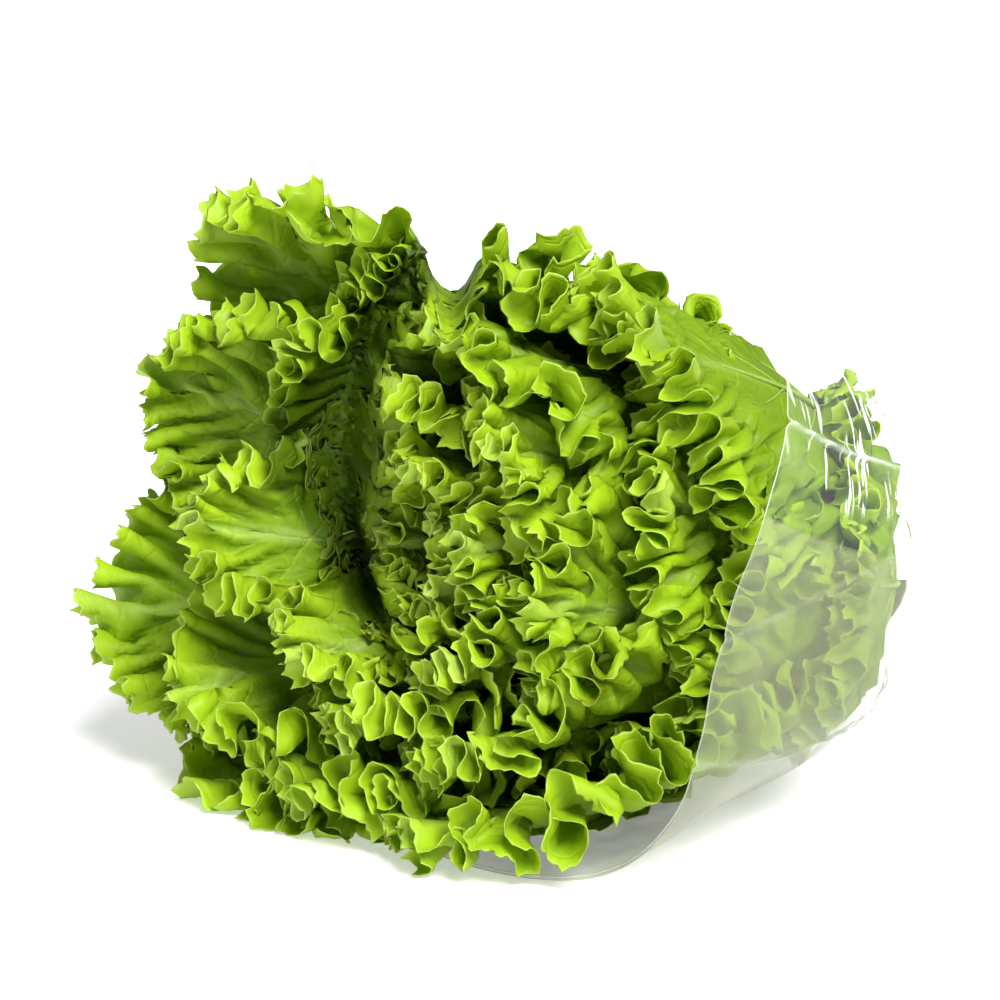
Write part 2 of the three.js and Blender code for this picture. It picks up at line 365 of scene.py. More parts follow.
    def keep_apart(self):
        """Push points of different frills away from each other where they come too close."""
        points = self.points[:, ::2, ::2]
        leaves, rows, columns, _ = points.shape
        points = points.reshape(-1, 3)
        place = np.arange(len(points))
        leaf, row, column = place // (rows * columns), place // columns % rows, place % columns
        cell = np.floor((points - points.min(axis=0)) / APART).astype(np.int64) + 1
        deep, high = cell[:, 1].max() + 2, cell[:, 2].max() + 2
        key = (cell[:, 0] * deep + cell[:, 1]) * high + cell[:, 2]
        order = np.argsort(key, kind="stable")
        key, points, leaf, row, column = (values[order] for values in (key, points, leaf, row, column))
        push = np.zeros((len(points), 3))
        hits = np.zeros(len(points))
        for beside, behind in ((0, 0), (0, 1), (1, -1), (1, 0), (1, 1)):
            there = key + (beside * deep + behind) * high
            same_cell = beside == 0 and behind == 0
            one = place
            other = place + 1 if same_cell else np.searchsorted(key, there - 1, "left")
            last = np.searchsorted(key, there + 1, "right")
            while True:
                left = other < last
                if not left.any():
                    break
                one, other, last = one[left], other[left], last[left]
                between = points[other] - points[one]
                squared = np.einsum("ni,ni->n", between, between)
                neighbours = leaf[one] == leaf[other]
                neighbours &= np.abs(column[one] - column[other]) < 5
                neighbours &= np.abs(row[one] - row[other]) < 4
                close = (squared < APART * APART) & ~neighbours
                near, far = one[close], other[close]
                gap = np.sqrt(squared[close]) + 1e-4
                shove = between[close] * (0.5 * (APART - gap) / gap)[:, None]
                for axis in range(3):
                    push[:, axis] += np.bincount(far, shove[:, axis], len(points))
                    push[:, axis] -= np.bincount(near, shove[:, axis], len(points))
                hits += np.bincount(near, minlength=len(points)) + np.bincount(far, minlength=len(points))
                other = other + 1
        push /= (1 + hits)[:, None]
        spread = np.zeros_like(push)
        spread[order] = push
        spread = spread.reshape(leaves, rows, columns, 3)
        spread = np.repeat(np.repeat(spread, 2, axis=1), 2, axis=2)[:, :ROWS, :COLUMNS]
        self.points += (spread * (1 - np.minimum(1, self.hold / 0.3))[..., None]).astype(np.float32)


def crowding(points):
    """How much of the way to the light and to the viewer is filled with leaves, for each point; used as
    painted shade in the leaf colour.
    """
    cell = CROWD["cell"]
    low = points.reshape(-1, 3).min(axis=0) - 4 * cell
    index = ((points.reshape(-1, 3) - low) / cell).astype(int)
    size = index.max(axis=0) + 16
    key = (index[:, 0] * size[1] + index[:, 1]) * size[2] + index[:, 2]
    filled = np.minimum(np.bincount(key, minlength=int(size.prod())).reshape(size) / CROWD["full"], 1)
    for axis in (0, 1, 2):
        filled = 0.5 * filled + 0.25 * (np.roll(filled, 1, axis) + np.roll(filled, -1, axis))
    painted_shade = np.zeros(len(index))
    for towards in CROWD["towards"]:
        way = np.zeros(len(index))
        for distance in CROWD["distances"]:
            there = (points.reshape(-1, 3) + distance * unit(np.array(towards)) - low) / cell
            there = np.clip(there, 0, size - 1).astype(int)
            way += filled[there[:, 0], there[:, 1], there[:, 2]]
        painted_shade += (1 - np.exp(-CROWD["dimming"] * way)) / len(CROWD["towards"])
    return painted_shade.reshape(points.shape[:-1])


def stretch(start, end, rest, strength):
    """Move both ends of each edge towards its rest length."""
    edge = end - start
    length = np.sqrt(np.einsum("...i,...i->...", edge, edge)) + 1e-6
    edge *= (0.5 * strength * (1 - rest / length))[..., None]
    start += edge
    end -= edge


def unbend(points, stiffness):
    """Ease each point towards the smooth curve through its neighbours in its own row."""
    nearer = 4 * (points[:, :, 1:-3] + points[:, :, 3:-1])
    farther = points[:, :, :-4] + points[:, :, 4:]
    points[:, :, 2:-2] += stiffness * ((nearer - farther) / 6 - points[:, :, 2:-2])


# --- finished leaf meshes
def resample(values, places, axis):
    """Values at fractional places along an axis, on smooth curves through the given ones."""
    values = np.moveaxis(values, axis, 0)
    last = len(values) - 1
    base = np.clip(np.floor(places).astype(int), 0, last - 1)
    part = (places - base).reshape((-1,) + (1,) * (values.ndim - 1))
    before, start, end, after = (values[np.clip(base + shift, 0, last)] for shift in (-1, 0, 1, 2))
    cubic = 2 * start + (end - before) * part
    cubic = cubic + (2 * before - 5 * start + 4 * end - after) * part ** 2
    cubic = cubic + (3 * start - before - 3 * end + after) * part ** 3
    return np.moveaxis(0.5 * cubic, 0, axis)


def notches(run, pattern, random):
    """A row of pointed teeth of uneven size and spacing along a run of margin."""
    count = int(1.3 * run[-1] / pattern["spacing"]) + 8
    steps = pattern["spacing"] * random.uniform(0.6, 1.4, count)
    tips = np.cumsum(steps) - pattern["spacing"]
    tall = random.uniform(0.35, 1.15, count)
    following = np.clip(np.searchsorted(tips, run), 1, count - 1)
    left, right = tips[following - 1], tips[following]
    part = np.clip((run - left) / (right - left), 0, 1)
    rise = np.where(part < 0.5, tall[following - 1], tall[following])
    return pattern["size"] * rise * (np.abs(2 * part - 1) ** 2.2 - 0.35)


def leaf_rows(leaves, number):
    """The leaf's rows of points, finer towards the margin, with what the materials need to know."""
    age = leaves.age[number]
    random = np.random.default_rng(SEED + 101 * (number + 1))
    inner = int(mix(INNER_COLUMNS["heart"], INNER_COLUMNS["outer"], age))
    bands = (INNER_ROWS, FRILL_ROWS, MARGIN_ROWS, RIM_ROWS)
    counts = np.concatenate([[2 ** band * (inner - 1) + 1] * len(rows) for band, rows in enumerate(bands)])
    shares = np.concatenate(bands)
    fine = leaves.points[number].astype(float)
    normal = unit(np.cross(np.gradient(fine, axis=1), np.gradient(fine, axis=0)))
    outwards = unit(fine[-1] - fine[-2])
    run = leaves.grown_run[number]
    dense = np.linspace(0, COLUMNS - 1, counts[-1])
    dense_run = np.interp(dense, np.arange(COLUMNS), run)
    lobes = notches(dense_run, LOBE, random)
    teeth = notches(dense_run, TOOTH, random)
    onset = np.interp(dense, np.arange(COLUMNS), leaves.onset[number, 0])
    dense_out = resample(outwards, dense, 0)
    crinkle = np.zeros(len(dense))
    for share in np.linspace(0, 1, 9):
        pitch = 2 * np.pi / mix(CRINKLE["longest"], CRINKLE["shortest"], share)
        crinkle += CRINKLE["size"] / 3 * np.sin(pitch * dense_run + random.uniform(0, 2 * np.pi))
    rows = []
    for share, count in zip(shares, counts):
        places = np.linspace(0, COLUMNS - 1, count)
        skip = (len(dense) - 1) // (count - 1)
        at_row = [resample(values, np.array([share * (ROWS - 1)]), 0)[0]
                  for values in (fine, normal, leaves.flat[number], leaves.from_margin[number],
                                 leaves.painted_shade[number])]
        points, normals, flat, from_margin, painted_shade = (resample(values, places, 0) for values in at_row)
        grow_out = lobes[::skip] * np.exp(-(from_margin / LOBE["reach"]) ** 2)
        grow_out += teeth[::skip] * np.exp(-(from_margin / TOOTH["reach"]) ** 2)
        points = points + dense_out[::skip] * (grow_out * onset[::skip])[:, None]
        crumple = crinkle[::skip] * onset[::skip] * np.exp(-from_margin / CRINKLE["reach"])
        points = points + unit(normals) * crumple[:, None]
        points[:, 2] = np.maximum(points[:, 2], 0.6)
        rows.append({"points": points, "normals": unit(normals), "flat": flat,
                     "from_margin": np.maximum(from_margin, 0), "share": share,
                     "painted_shade": np.clip(painted_shade, 0, 1)})
    return rows


def strip(low, high):
    """Faces between two rows of point numbers, where the second may have twice the first's spacing."""
    if len(low) == len(high):
        return [np.stack([low[:-1], low[1:], high[1:], high[:-1]], -1)]
    fine = high[1::2]
    return [np.stack([low[:-1], fine, high[:-2:2], high[:-2:2]], -1),
            np.stack([low[:-1], low[1:], fine, fine], -1),
            np.stack([low[1:], high[2::2], fine, fine], -1)]


def faces_list(quads):
    """Quads as lists, where a doubled last corner means a triangle."""
    quads = np.concatenate(quads)
    triangles = quads[:, 2] == quads[:, 3]
    return quads[~triangles].tolist() + quads[triangles][:, :3].tolist()


def leaf_mesh(leaves, number, name):
    rows = leaf_rows(leaves, number)
    points, values, top, under = [], [], [], []

    def add(row, side, keep):
        start = sum(len(part) for part in points)
        depth = mix(BLADE_THICKNESS["middle"], BLADE_THICKNESS["margin"], row["share"] ** 0.5)
        points.append((row["points"] + side * 0.5 * depth * row["normals"])[keep])
        flat = row["flat"][keep]
        values.append(np.column_stack([flat, row["from_margin"][keep], np.full(len(flat), side < 0),
                                       row["painted_shade"][keep]]))
        return start + np.arange(len(flat))

    for side, sheet in ((1, top), (-1, under)):
        for index, row in enumerate(rows):
            count = len(row["points"])
            if index == 0:
                half = add(row, side, slice(0, count // 2 + 1))
                mirrored = half[:count - len(half)][::-1]
                sheet.append(np.concatenate([half, mirrored]))
            elif index == len(rows) - 1 and sheet is under:
                sheet.append(top[-1])
            else:
                sheet.append(add(row, side * (index < len(rows) - 1), slice(None)))
    quads = []
    for low, high in zip(top[:-1], top[1:]):
        quads += strip(low, high)
    for low, high in zip(under[:-1], under[1:]):
        quads += [face[:, ::-1] if face[0, 2] != face[0, 3] else face[:, [1, 0, 2, 3]]
                  for face in strip(low, high)]
    for end in (0, -1):
        edge_top = np.array([row[end] for row in top])
        edge_under = np.array([row[end] for row in under])
        wall = wall_faces(edge_top, edge_under)
        quads.append(wall[:-1] if end == 0 else wall[:-1, ::-1])
        last = wall[-1]
        tip = [last[0], last[1], last[3], last[3]]
        quads.append(np.array([tip if end == 0 else [tip[1], tip[0], tip[2], tip[2]]]))
    mesh = bpy.data.meshes.new(name)
    mesh.from_pydata((np.concatenate(points) * MM).tolist(), [], faces_list(quads))
    values = np.concatenate(values)
    for column, key in enumerate(("along", "aside", "from_margin")):
        store(mesh, key, values[:, column] * MM)
    store(mesh, "underside", values[:, 3])
    store(mesh, "painted_shade", values[:, 4])
    store(mesh, "leaf", np.full(len(values), number / LEAF_COUNT))
    mesh.shade_smooth()
    return mesh


def store(mesh, name, values):
    mesh.attributes.new(name, "FLOAT", "POINT").data.foreach_set("value", values.astype(np.float32))


# --- shader maths
class Wire:
    """One output of a material's nodes; arithmetic on it adds Math nodes."""

    def __init__(self, tree, socket):
        self.tree = tree
        self.socket = socket

    def maths(self, operation, *values):
        return self.tree.node("ShaderNodeMath", {"operation": operation}, *values)

    def __add__(self, other):
        return self.maths("ADD", self, other)

    def __sub__(self, other):
        return self.maths("SUBTRACT", self, other)

    def __mul__(self, other):
        return self.maths("MULTIPLY", self, other)

    def __pow__(self, other):
        return self.maths("POWER", self, other)

    def __rsub__(self, other):
        return self.maths("SUBTRACT", other, self)

    __radd__ = __add__
    __rmul__ = __mul__

    def clipped(self):
        return self.maths("MINIMUM", self.maths("MAXIMUM", self, 0.0), 1.0)

    def between(self, low, high):
        """0 below low, 1 above high, smooth between."""
        settings = {"interpolation_type": "SMOOTHSTEP"}
        return self.tree.node("ShaderNodeMapRange", settings, self, low, high, 0.0, 1.0)


class Finish:
    """A material, with short ways to add its nodes."""

    def __init__(self, name):
        self.material = bpy.data.materials.new(name)
        self.material.use_nodes = True
        self.nodes = self.material.node_tree.nodes
        self.links = self.material.node_tree.links
        self.nodes.clear()
        self.output = self.nodes.new("ShaderNodeOutputMaterial")

    def put(self, socket, value):
        if isinstance(value, Wire):
            self.links.new(value.socket, socket)
        else:
            socket.default_value = value

    def node(self, kind, settings, *values, out=0, **named):
        node = self.nodes.new(kind)
        for key, value in settings.items():
            setattr(node, key, value)
        for socket, value in zip([s for s in node.inputs if s.enabled], values):
            if value is not None:
                self.put(socket, value)
        for key, value in named.items():
            self.put(node.inputs[key.replace("_", " ")], value)
        outputs = [s for s in node.outputs if s.enabled]
        return Wire(self, node.outputs[out] if isinstance(out, str) else outputs[out])

    def attribute(self, name):
        return self.node("ShaderNodeAttribute", {"attribute_name": name}, out="Fac")

    def object_place(self):
        return self.node("ShaderNodeTexCoord", {}, out="Object")

    def noise(self, place, scale, detail=3.0, roughness=0.55):
        return self.node("ShaderNodeTexNoise", {}, Vector=place, Scale=scale, Detail=detail,
                         Roughness=roughness, out="Fac")

    def blend(self, factor, first, second):
        node = self.nodes.new("ShaderNodeMix")
        node.data_type = "RGBA"
        for number, value in ((0, factor), (6, first), (7, second)):
            self.put(node.inputs[number], value)
        return Wire(self, node.outputs[2])

    def bump(self, height, distance, strength):
        return self.node("ShaderNodeBump", {}, Height=height, Distance=distance, Strength=strength)

    def surface(self, shader):
        self.links.new(shader.socket, self.output.inputs["Surface"])
        return self.material


def leaf_finish(name, blade, frill, rim, rib, through, seed):
    """Crisp leaf: darker blade, yellow-green frills, pale rim, veins and small blisters, and painted shade
    where leaves crowd or lie down in the parting.
    """
    made = Finish(name)
    along = made.attribute("along")
    aside = made.attribute("aside")
    from_margin = made.attribute("from_margin")
    underside = made.attribute("underside")
    leaf = made.attribute("leaf")
    flat = made.node("ShaderNodeCombineXYZ", {}, along, aside, leaf * 3.7 + seed)
    place = made.object_place()
    mottled = made.noise(place, 28.0, 3.0)
    patchy = made.noise(flat, 22.0, 2.0)
    frilled = 1 - (from_margin + (mottled - 0.5) * 0.012).between(0.001, 0.024)
    colour = made.blend(frilled, blade, frill)
    colour = made.blend((patchy.between(0.35, 0.75)) * 0.35, colour, (*[c * 0.62 for c in blade[:3]], 1))
    # side veins leave the midrib at a slant and split into a fine net
    bend = made.noise(flat, 30.0, 2.0) - 0.5
    sideways = made.node("ShaderNodeMath", {"operation": "ABSOLUTE"}, aside)
    slanted = (along - sideways * 0.75 + bend * 0.012) * 42.0
    wrapped = made.node("ShaderNodeMath", {"operation": "PINGPONG"}, slanted, 0.5)
    side_vein = 1 - wrapped.between(0.0, 0.045)
    net = made.node("ShaderNodeTexVoronoi", {"feature": "DISTANCE_TO_EDGE"}, Vector=flat, Scale=120.0,
                    Randomness=1.0, out="Distance")
    fine_vein = 1 - net.between(0.0, 0.08)
    midrib = 1 - sideways.between(0.0005, 0.0035)
    foot = 1 - along.between(0.01, 0.06)
    veins = (side_vein * 0.55 + fine_vein * 0.20).clipped() * (1 - frilled * 0.5)
    colour = made.blend(veins * 0.55, colour, frill)
    colour = made.blend((midrib * 0.35 + foot * 0.5).clipped(), colour, rib)
    rimmed = 1 - from_margin.between(0.0002, 0.0010)
    colour = made.blend(rimmed * 0.35, colour, rim)
    # a few scorched spots along the margins
    scorched = made.noise(place, 16.0, 2.0).between(0.66, 0.72) * (1 - from_margin.between(0.0, 0.006))
    colour = made.blend(scorched * 0.7, colour, (0.16, 0.07, 0.012, 1))
    # painted shade: the colour blends towards dark green where the point is shut in among leaves or down in
    # the parting
    dim = 1 - made.attribute("painted_shade").between(0.36, 0.97) * 0.72
    colour = made.blend(1 - dim, colour, (0.012, 0.045, 0.001, 1))
    blisters = made.noise(flat, 95.0, 2.0)
    height = blisters * 0.9 - (side_vein * 0.5 + fine_vein * 0.35)
    normal = made.bump(height, 0.0011, 0.55)
    rough = 0.34 + mottled * 0.16 + underside * 0.12
    skin = made.node("ShaderNodeBsdfPrincipled", {}, Base_Color=colour, Roughness=rough, Normal=normal,
                     Specular_IOR_Level=0.32, IOR=1.4)
    glow = made.node("ShaderNodeBsdfTranslucent", {}, Color=through)
    both = made.node("ShaderNodeMixShader", {}, 0.30, skin, glow)
    return made.surface(both)


def rib_finish():
    made = Finish("midrib")
    place = made.object_place()
    streaks = made.noise(place, 180.0, 3.0)
    colour = made.blend(streaks, (0.22, 0.38, 0.03, 1), (0.34, 0.50, 0.09, 1))
    normal = made.bump(streaks, 0.0006, 0.4)
    skin = made.node("ShaderNodeBsdfPrincipled", {}, Base_Color=colour, Roughness=0.36 + streaks * 0.1,
                     Normal=normal, Specular_IOR_Level=0.45)
    glow = made.node("ShaderNodeBsdfTranslucent", {}, Color=(0.45, 0.62, 0.12, 1))
    return made.surface(made.node("ShaderNodeMixShader", {}, 0.2, skin, glow))


def stem_finish():
    made = Finish("stem")
    place = made.object_place()
    fibres = made.noise(place, 240.0, 4.0)
    rust = made.noise(place, 70.0, 3.0).between(0.42, 0.68)
    colour = made.blend(fibres, (0.66, 0.68, 0.42, 1), (0.80, 0.80, 0.60, 1))
    colour = made.blend(rust * 0.65, colour, (0.42, 0.20, 0.07, 1))
    normal = made.bump(fibres, 0.0009, 0.6)
    return made.surface(made.node("ShaderNodeBsdfPrincipled", {}, Base_Color=colour,
                                  Roughness=0.42 + rust * 0.2, Normal=normal))


def film_finish(name, clear, milky, tint):
    """Clear film: almost nothing face on; painted highlights make it whiter on its creases, in thin streaks
    and where it is seen along, and it is whiter near its cut edges.
    """
    made = Finish(name)
    place = made.object_place()
    crease = made.attribute("crease")
    edge_on = made.node("ShaderNodeLayerWeight", {}, 0.35, out="Facing")
    stretched = made.node("ShaderNodeMapping", {}, Vector=place, Scale=(1.0, 1.0, 0.35))
    haze = made.noise(stretched, 34.0, 3.0)
    scuffed = haze.between(0.45, 0.8)
    # painted sheen: whiter where the film is seen edge-on, standing in for its reflection
    shine = (edge_on ** 5) * 0.16
    # painted highlights: thin bright streaks drawn across the film in patches above the lap
    over = made.node("ShaderNodeCombineXYZ", {}, made.attribute("film_along") * 95.0,
                     made.attribute("film_around") * 13.0, 0.0)
    drawn = made.noise(over, 1.0, 3.0, 0.6)
    line = 1 - made.node("ShaderNodeMath", {"operation": "ABSOLUTE"}, drawn - 0.5).between(0.012, 0.028)
    turned = made.attribute("film_around")
    above_lap = turned.between(0.034, 0.045) * (1 - turned.between(0.10, 0.14))
    highlight_patches = made.noise(place, 15.0, 2.0).between(0.40, 0.54) * above_lap
    painted_highlight_streak = line * highlight_patches * made.noise(over, 2.7, 2.0).between(0.46, 0.54)
    # whiter in a narrow band along the film's hem and mouth
    edge_band = 1 - made.attribute("from_edge").between(0.0, 0.0008)
    # creases are made whiter as painted highlights along the folds
    alpha = (clear + milky * scuffed + (crease ** 2) * 0.5 + painted_highlight_streak * 0.85 + edge_band * 0.4 + shine).clipped()
    normal = made.bump(made.noise(stretched, 60.0, 2.0), 0.0016, 0.35)
    return made.surface(made.node("ShaderNodeBsdfPrincipled", {}, Base_Color=tint,
                                  Roughness=0.10 + haze * 0.10, Alpha=alpha, Normal=normal,
                                  Specular_IOR_Level=0.6, IOR=1.5))


# --- ribs that follow the leaves
def rib_tree(material):
    """Geometry Nodes: a round rib along every edge path, as thick as the path's own half_width."""
    tree = bpy.data.node_groups.new("ribs_along_paths", "GeometryNodeTree")
    tree.interface.new_socket("Paths", in_out="INPUT", socket_type="NodeSocketGeometry")
    tree.interface.new_socket("Sides", in_out="INPUT", socket_type="NodeSocketInt")
    tree.interface.new_socket("Ribs", in_out="OUTPUT", socket_type="NodeSocketGeometry")
    nodes, links = tree.nodes, tree.links
    given, result = nodes.new("NodeGroupInput"), nodes.new("NodeGroupOutput")
    kinds = ("MeshToCurve", "InputNamedAttribute", "SetCurveRadius", "CurvePrimitiveCircle", "CurveToMesh",
             "SetShadeSmooth", "RealizeInstances", "SetMaterial")
    to_curve, width, radius, profile, sweep, smooth_shade, real, paint = (
        nodes.new("GeometryNode" + kind) for kind in kinds)
    width.data_type = "FLOAT"
    width.inputs["Name"].default_value = "half_width"
    profile.inputs["Radius"].default_value = 1.0
    sweep.inputs["Fill Caps"].default_value = True
    paint.inputs["Material"].default_value = material
    if "Scale" in sweep.inputs:
        links.new(width.outputs["Attribute"], sweep.inputs["Scale"])
    for start, end in (
            (given.outputs["Paths"], to_curve.inputs["Mesh"]),
            (to_curve.outputs["Curve"], radius.inputs["Curve"]),
            (width.outputs["Attribute"], radius.inputs["Radius"]),
            (given.outputs["Sides"], profile.inputs["Resolution"]),
            (radius.outputs["Curve"], sweep.inputs["Curve"]),
            (profile.outputs["Curve"], sweep.inputs["Profile Curve"]),
            (sweep.outputs["Mesh"], smooth_shade.inputs[0]),
            (smooth_shade.outputs[0], real.inputs[0]),
            (real.outputs[0], paint.inputs["Geometry"]),
            (paint.outputs["Geometry"], result.inputs["Ribs"])):
        links.new(start, end)
    return tree


def grown_ribs(tree, name, paths):
    """Run the rib tree on a mesh of paths, and return its result as a plain mesh."""
    points = np.concatenate([path["points"] for path in paths]) * MM
    edges, start = [], 0
    for path in paths:
        count = len(path["points"])
        edges += [(start + i, start + i + 1) for i in range(count - 1)]
        start += count
    mesh = bpy.data.meshes.new(name + "_paths")
    mesh.from_pydata(points.tolist(), edges, [])
    store(mesh, "half_width", np.concatenate([path["half_width"] for path in paths]) * MM)
    guide = bpy.data.objects.new(name + "_paths", mesh)
    bpy.context.scene.collection.objects.link(guide)
    modifier = guide.modifiers.new("ribs", "NODES")
    modifier.node_group = tree
    inputs = {item.name: item.identifier for item in tree.interface.items_tree if item.in_out == "INPUT"}
    modifier[inputs["Sides"]] = RIB_SIDES
    depsgraph = bpy.context.evaluated_depsgraph_get()
    result = bpy.data.meshes.new_from_object(guide.evaluated_get(depsgraph))
    bpy.data.objects.remove(guide)
    result.name = name
    return result


def sampled(grid, row, column):
    """Points of a leaf's grid at fractional rows and columns."""
    row = np.clip(row, 0, grid.shape[0] - 1.001)
    column = np.clip(column, 0, grid.shape[1] - 1.001)
    r, c = row.astype(int), column.astype(int)
    a, b = (row - r)[:, None], (column - c)[:, None]
    low = grid[r, c] * (1 - b) + grid[r, c + 1] * b
    high = grid[r + 1, c] * (1 - b) + grid[r + 1, c + 1] * b
    return low * (1 - a) + high * a


RIB_SIDES = 6
RIB_FOOT = {"heart": 2.2, "outer": 4.6}
RIB_TIP = 0.35
SIDE_RIBS = {"count": 5, "first": 0.24, "spread": 0.66, "share": 0.2, "tip": 0.12,
             "rows": 0.42, "ahead": 0.08}


def leaf_ribs(leaves, number):
    """The midrib's path and the side ribs' paths, on the leaf's underside."""
    age = leaves.age[number]
    grid = leaves.points[number].astype(float)
    normal = unit(np.cross(np.gradient(grid, axis=1), np.gradient(grid, axis=0)))
    outwards = leaves.to_film[number].astype(float)
    normal *= np.where(np.einsum("rci,rci->rc", normal, outwards) < 0, -1, 1)[..., None]
    tip = (COLUMNS - 1) / 2
    foot = mix(RIB_FOOT["heart"], RIB_FOOT["outer"], age)
    paths = []

    def path(row, column, thick):
        sunk = 1.05 * thick + 0.15
        points = sampled(grid, row, column) + sampled(normal, row, column) * sunk[:, None]
        points[:, 2] = np.maximum(points[:, 2], thick + 0.2)
        paths.append({"points": points, "half_width": thick})

    share = np.linspace(0.02, 0.97, 34)
    path(0 * share, share * tip, mix(foot, RIB_TIP, share ** 0.5))
    for index in range(SIDE_RIBS["count"]):
        start = SIDE_RIBS["first"] + SIDE_RIBS["spread"] * index / SIDE_RIBS["count"]
        along = np.linspace(0, 1, 13)
        row = along * SIDE_RIBS["rows"] * (ROWS - 1)
        column = (start + SIDE_RIBS["ahead"] * along ** 0.8) * tip
        thick = mix(SIDE_RIBS["share"] * foot * (1 - 0.5 * start), SIDE_RIBS["tip"], along ** 0.7)
        path(row, column, thick)
        path(row, COLUMNS - 1 - column, thick)
    return paths


# --- film
def film_surface(around, travel, lift):
    """Points of the film, and how creased it is there."""
    points = head_points(SLEEVE_LAYER, travel, around)[0]
    inner = head_points(SLEEVE_LAYER - 0.02, travel, around)[0]
    outwards = unit(points - inner)
    folds = np.zeros_like(travel)
    for number, strength in enumerate(FILM_CREASES["strength"]):
        middle = FILM_CREASES["first"] + number * FILM_CREASES["apart"]
        middle = middle + FILM_CREASES["bend"] * np.sin(travel / 40 + 2.1 * number)
        middle = middle + FILM_CREASES["slant"] * (number % 3 - 1) * (travel - 80) / 100
        off = np.abs((around - middle + np.pi) % (2 * np.pi) - np.pi)
        here = smooth(travel + 25 * np.sin(5.3 * number), -10, 60)
        folds = np.maximum(folds, strength * here * np.exp(-(off / FILM_CREASES["width"]) ** 1.2))
    drift = 0.05 * travel + 2 * np.sin(0.035 * travel)
    ripples = np.sin(FILM_RIPPLES["count"] * around + drift)
    fade = smooth(points[..., 2], 6, 30)
    folds = folds * fade
    height = FILM_CREASES["height"] * folds + FILM_RIPPLES["height"] * ripples * fade
    points = points + outwards * (lift + height)[..., None]
    points[..., 2] = np.maximum(points[..., 2], 0.15)
    return points, folds


def film_mesh(name, around, mouth, hem, lift, slant=0.0):
    """A thin closed shell of film from hem to mouth, a ring or a lap over part of the way around."""
    closed = abs(around[-1] - around[0]) > 2 * np.pi - 0.01
    share = (1 - (1 - np.linspace(0, 1, FILM_STEPS["along"])) ** 1.4)[:, None]
    travel = hem + (mouth - hem) * share
    grid_around = around + slant * (1 - share) * np.linspace(0, 1, len(around))
    points, crease = film_surface(grid_around, travel, lift)
    normal = unit(np.cross(np.gradient(points, axis=1), np.gradient(points, axis=0)))
    centre = points.mean(axis=(0, 1))
    if np.einsum("rci,rci->", normal, points - centre) < 0:
        normal = -normal
    inner = points - FILM_THICKNESS * normal
    inner[..., 2] = np.maximum(inner[..., 2], 0.02)
    rows, columns, _ = points.shape
    unique = columns - 1 if closed else columns
    number = np.arange(rows * unique).reshape(rows, unique)
    if closed:
        number = np.concatenate([number, number[:, :1]], axis=1)
    shell = np.concatenate([side[:, :unique].reshape(-1, 3) for side in (points, inner)])
    second = number + rows * unique
    quads = [grid_faces(number), grid_faces(second)[:, ::-1]]
    for row in (0, -1):
        wall = wall_faces(number[row], second[row])
        quads.append(wall[:, ::-1] if row == 0 else wall)
    if not closed:
        for column in (0, -1):
            wall = wall_faces(number[:, column], second[:, column])
            quads.append(wall if column == 0 else wall[:, ::-1])
    mesh = bpy.data.meshes.new(name)
    mesh.from_pydata((shell * MM).tolist(), [], np.concatenate(quads).tolist())
    kept = {"crease": crease, "from_edge": np.minimum(mouth - travel, travel - hem) * MM,
            "film_along": travel * MM, "film_around": grid_around * 0.1}
    for key, value in kept.items():
        value = value[:, :unique].reshape(-1)
        store(mesh, key, np.concatenate([value, value]))
    mesh.shade_smooth()
    outward_faces(mesh)
    return mesh


def grid_faces(grid):
    corners = [grid[:-1, :-1], grid[:-1, 1:], grid[1:, 1:], grid[1:, :-1]]
    return np.stack(corners, -1).reshape(-1, 4)


def wall_faces(edge, facing):
    """Faces between two rows of as many point numbers."""
    return np.stack([edge[:-1], edge[1:], facing[1:], facing[:-1]], -1)


def outward_faces(mesh):
    shape = bmesh.new()
    shape.from_mesh(mesh)
    bmesh.ops.recalc_face_normals(shape, faces=shape.faces)
    shape.to_mesh(mesh)
    shape.free()


# --- stem
def stem_mesh():
    """The cut stem, with the scars of the leaves' feet and a slightly hollow cut face."""
    around_steps, along_steps = 72, 40
    around = np.linspace(0, 2 * np.pi, around_steps, endpoint=False)
    rings = []
    for depth, radius in ((0.8, 0.0), (0.6, 0.35), (0.2, 0.75), (0.0, 0.94), (0.3, 0.99)):
        rings.append((depth, radius * (STEM_RADIUS["cut"] - 0.3) * np.ones(around_steps)))
    for share in np.linspace(0.03, 0.985, along_steps):
        radius = mix(STEM_RADIUS["cut"], STEM_RADIUS["apex"], share) - 0.35
        scars = 0.3 * np.sin(5 * around + 34 * share) * np.sin(40 * share)
        rings.append((share * STEM_LENGTH, radius + scars))
    rings.append((STEM_LENGTH - 0.1, np.full(around_steps, 0.5 * STEM_RADIUS["apex"])))
    points = []
    for axial, radius in rings:
        ring = STEM_CUT + axial * HEAD_AXIS + (radius * np.cos(around))[:, None] * RIGHT_AXIS
        points.append(ring + (radius * np.sin(around))[:, None] * UP_AXIS)
    flat = np.concatenate(points)
    number = np.arange(len(flat)).reshape(len(rings), around_steps)
    faces = grid_faces(np.concatenate([number, number[:, :1]], axis=1)).tolist()
    faces.append(tuple(range(around_steps))[::-1])
    faces.append(tuple(range(len(flat) - around_steps, len(flat))))
    mesh = bpy.data.meshes.new("cut_stem")
    mesh.from_pydata((flat * MM).tolist(), [], faces)
    mesh.shade_smooth()
    outward_faces(mesh)
    return mesh


